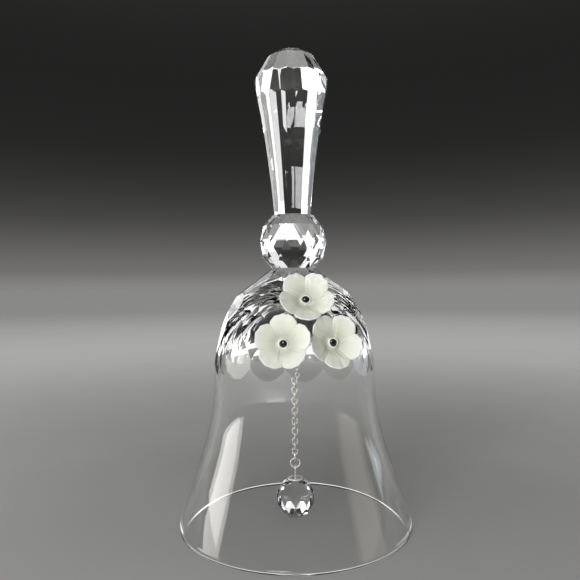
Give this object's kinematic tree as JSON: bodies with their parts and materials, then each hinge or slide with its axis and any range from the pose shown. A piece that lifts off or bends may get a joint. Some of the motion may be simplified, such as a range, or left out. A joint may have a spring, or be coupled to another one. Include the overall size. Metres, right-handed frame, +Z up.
{
  "type": "table bell",
  "caption": "Glass hand bell with a flared skirt, facet-cut dome, knop and handle, frosted flowers and a faceted clapper hanging on a fine cable chain.",
  "frame": {"origin": "on the bell's axis, in the plane that the rim stands on", "axes": "+Z up along the bell's axis; -Y is the front, where the flowers are; +X to the right"},
  "size_m": [0.071, 0.071, 0.1452],
  "materials": {
    "crystal": "clear polished crystal glass",
    "frosted_glass": "white acid-frosted glass, matt",
    "jet": "opaque black, glossy",
    "silver": "bright silver plate"
  },
  "bodies": {
    "bell": {"bell_body": "crystal", "knop_ball": "crystal", "handle": "crystal", "flower_top": "frosted_glass", "flower_left": "frosted_glass", "flower_right": "frosted_glass", "bead_top": "jet", "bead_left": "jet", "bead_right": "jet", "hanger_cap": "silver"},
    "link_01": {"link_01": "silver"},
    "link_02": {"link_02": "silver"},
    "link_03": {"link_03": "silver"},
    "link_04": {"link_04": "silver"},
    "link_05": {"link_05": "silver"},
    "link_06": {"link_06": "silver"},
    "link_07": {"link_07": "silver"},
    "link_08": {"link_08": "silver"},
    "link_09": {"link_09": "silver"},
    "link_10": {"link_10": "silver"},
    "link_11": {"link_11": "silver"},
    "link_12": {"link_12": "silver"},
    "link_13": {"link_13": "silver"},
    "link_14": {"link_14": "silver"},
    "link_15": {"link_15": "silver"},
    "link_16": {"link_16": "silver"},
    "link_17": {"link_17": "silver"},
    "link_18": {"link_18": "silver"},
    "link_19": {"link_19": "silver"},
    "link_20": {"link_20": "silver"},
    "link_21": {"link_21": "silver"},
    "link_22": {"link_22": "silver"},
    "link_23": {"link_23": "silver"},
    "link_24": {"link_24": "silver"},
    "link_25": {"link_25": "silver"},
    "link_26": {"link_26": "silver"},
    "link_27": {"link_27": "silver"},
    "link_28": {"link_28": "silver"},
    "link_29": {"link_29": "silver"},
    "link_30": {"link_30": "silver"},
    "link_31": {"link_31": "silver"},
    "jump_ring": {"jump_ring": "silver"},
    "clapper": {"clapper_bail": "silver", "clapper_ball": "crystal"}
  },
  "joints": [
    {"name": "link_01_swing", "type": "hinge", "parent": "bell", "child": "link_01", "pos_m": [0, 0, 0.06799], "axis": [1, 0, 0], "range_deg": [-21, 21]},
    {"name": "link_02_swing", "type": "hinge", "parent": "link_01", "child": "link_02", "pos_m": [0, 0, 0.06643], "axis": [0, 1, 0], "range_deg": [-22, 22]},
    {"name": "link_03_swing", "type": "hinge", "parent": "link_02", "child": "link_03", "pos_m": [0, 0, 0.06484], "axis": [-1, 0, 0], "range_deg": [-23, 23]},
    {"name": "link_04_swing", "type": "hinge", "parent": "link_03", "child": "link_04", "pos_m": [0, 0, 0.06326], "axis": [0, -1, 0], "range_deg": [-23, 23]},
    {"name": "link_05_swing", "type": "hinge", "parent": "link_04", "child": "link_05", "pos_m": [0, 0, 0.06168], "axis": [1, 0, 0], "range_deg": [-24, 24]},
    {"name": "link_06_swing", "type": "hinge", "parent": "link_05", "child": "link_06", "pos_m": [0, 0, 0.06009], "axis": [0, 1, 0], "range_deg": [-25, 25]},
    {"name": "link_07_swing", "type": "hinge", "parent": "link_06", "child": "link_07", "pos_m": [0, 0, 0.05851], "axis": [-1, 0, 0], "range_deg": [-25, 25]},
    {"name": "link_08_swing", "type": "hinge", "parent": "link_07", "child": "link_08", "pos_m": [0, 0, 0.05692], "axis": [0, -1, 0], "range_deg": [-26, 26]},
    {"name": "link_09_swing", "type": "hinge", "parent": "link_08", "child": "link_09", "pos_m": [0, 0, 0.05534], "axis": [1, 0, 0], "range_deg": [-27, 27]},
    {"name": "link_10_swing", "type": "hinge", "parent": "link_09", "child": "link_10", "pos_m": [0, 0, 0.05375], "axis": [0, 1, 0], "range_deg": [-28, 28]},
    {"name": "link_11_swing", "type": "hinge", "parent": "link_10", "child": "link_11", "pos_m": [0, 0, 0.05217], "axis": [-1, 0, 0], "range_deg": [-29, 29]},
    {"name": "link_12_swing", "type": "hinge", "parent": "link_11", "child": "link_12", "pos_m": [0, 0, 0.05058], "axis": [0, -1, 0], "range_deg": [-30, 30]},
    {"name": "link_13_swing", "type": "hinge", "parent": "link_12", "child": "link_13", "pos_m": [0, 0, 0.04899], "axis": [1, 0, 0], "range_deg": [-31, 31]},
    {"name": "link_14_swing", "type": "hinge", "parent": "link_13", "child": "link_14", "pos_m": [0, 0, 0.04741], "axis": [0, 1, 0], "range_deg": [-33, 33]},
    {"name": "link_15_swing", "type": "hinge", "parent": "link_14", "child": "link_15", "pos_m": [0, 0, 0.04582], "axis": [-1, 0, 0], "range_deg": [-34, 34]},
    {"name": "link_16_swing", "type": "hinge", "parent": "link_15", "child": "link_16", "pos_m": [0, 0, 0.04424], "axis": [0, -1, 0], "range_deg": [-35, 35]},
    {"name": "link_17_swing", "type": "hinge", "parent": "link_16", "child": "link_17", "pos_m": [0, 0, 0.04265], "axis": [1, 0, 0], "range_deg": [-35, 35]},
    {"name": "link_18_swing", "type": "hinge", "parent": "link_17", "child": "link_18", "pos_m": [0, 0, 0.04107], "axis": [0, 1, 0], "range_deg": [-35, 35]},
    {"name": "link_19_swing", "type": "hinge", "parent": "link_18", "child": "link_19", "pos_m": [0, 0, 0.03948], "axis": [-1, 0, 0], "range_deg": [-35, 35]},
    {"name": "link_20_swing", "type": "hinge", "parent": "link_19", "child": "link_20", "pos_m": [0, 0, 0.0379], "axis": [0, -1, 0], "range_deg": [-35, 35]},
    {"name": "link_21_swing", "type": "hinge", "parent": "link_20", "child": "link_21", "pos_m": [0, 0, 0.03632], "axis": [1, 0, 0], "range_deg": [-35, 35]},
    {"name": "link_22_swing", "type": "hinge", "parent": "link_21", "child": "link_22", "pos_m": [0, 0, 0.03473], "axis": [0, 1, 0], "range_deg": [-35, 35]},
    {"name": "link_23_swing", "type": "hinge", "parent": "link_22", "child": "link_23", "pos_m": [0, 0, 0.03315], "axis": [-1, 0, 0], "range_deg": [-35, 35]},
    {"name": "link_24_swing", "type": "hinge", "parent": "link_23", "child": "link_24", "pos_m": [0, 0, 0.03156], "axis": [0, -1, 0], "range_deg": [-35, 35]},
    {"name": "link_25_swing", "type": "hinge", "parent": "link_24", "child": "link_25", "pos_m": [0, 0, 0.02998], "axis": [1, 0, 0], "range_deg": [-35, 35]},
    {"name": "link_26_swing", "type": "hinge", "parent": "link_25", "child": "link_26", "pos_m": [0, 0, 0.02839], "axis": [0, 1, 0], "range_deg": [-35, 35]},
    {"name": "link_27_swing", "type": "hinge", "parent": "link_26", "child": "link_27", "pos_m": [0, 0, 0.0268], "axis": [-1, 0, 0], "range_deg": [-35, 35]},
    {"name": "link_28_swing", "type": "hinge", "parent": "link_27", "child": "link_28", "pos_m": [0, 0, 0.02522], "axis": [0, -1, 0], "range_deg": [-35, 35]},
    {"name": "link_29_swing", "type": "hinge", "parent": "link_28", "child": "link_29", "pos_m": [0, 0, 0.02363], "axis": [1, 0, 0], "range_deg": [-35, 35]},
    {"name": "link_30_swing", "type": "hinge", "parent": "link_29", "child": "link_30", "pos_m": [0, 0, 0.02205], "axis": [0, 1, 0], "range_deg": [-35, 35]},
    {"name": "link_31_swing", "type": "hinge", "parent": "link_30", "child": "link_31", "pos_m": [0, 0, 0.02047], "axis": [-1, 0, 0], "range_deg": [-35, 35]},
    {"name": "jump_ring_swing", "type": "hinge", "parent": "link_31", "child": "jump_ring", "pos_m": [0, 0, 0.01888], "axis": [0, -1, 0], "range_deg": [-35, 35]},
    {"name": "clapper_swing", "type": "hinge", "parent": "jump_ring", "child": "clapper", "pos_m": [0, 0, 0.0165], "axis": [1, 0, 0], "range_deg": [-35, 35]}
  ]
}
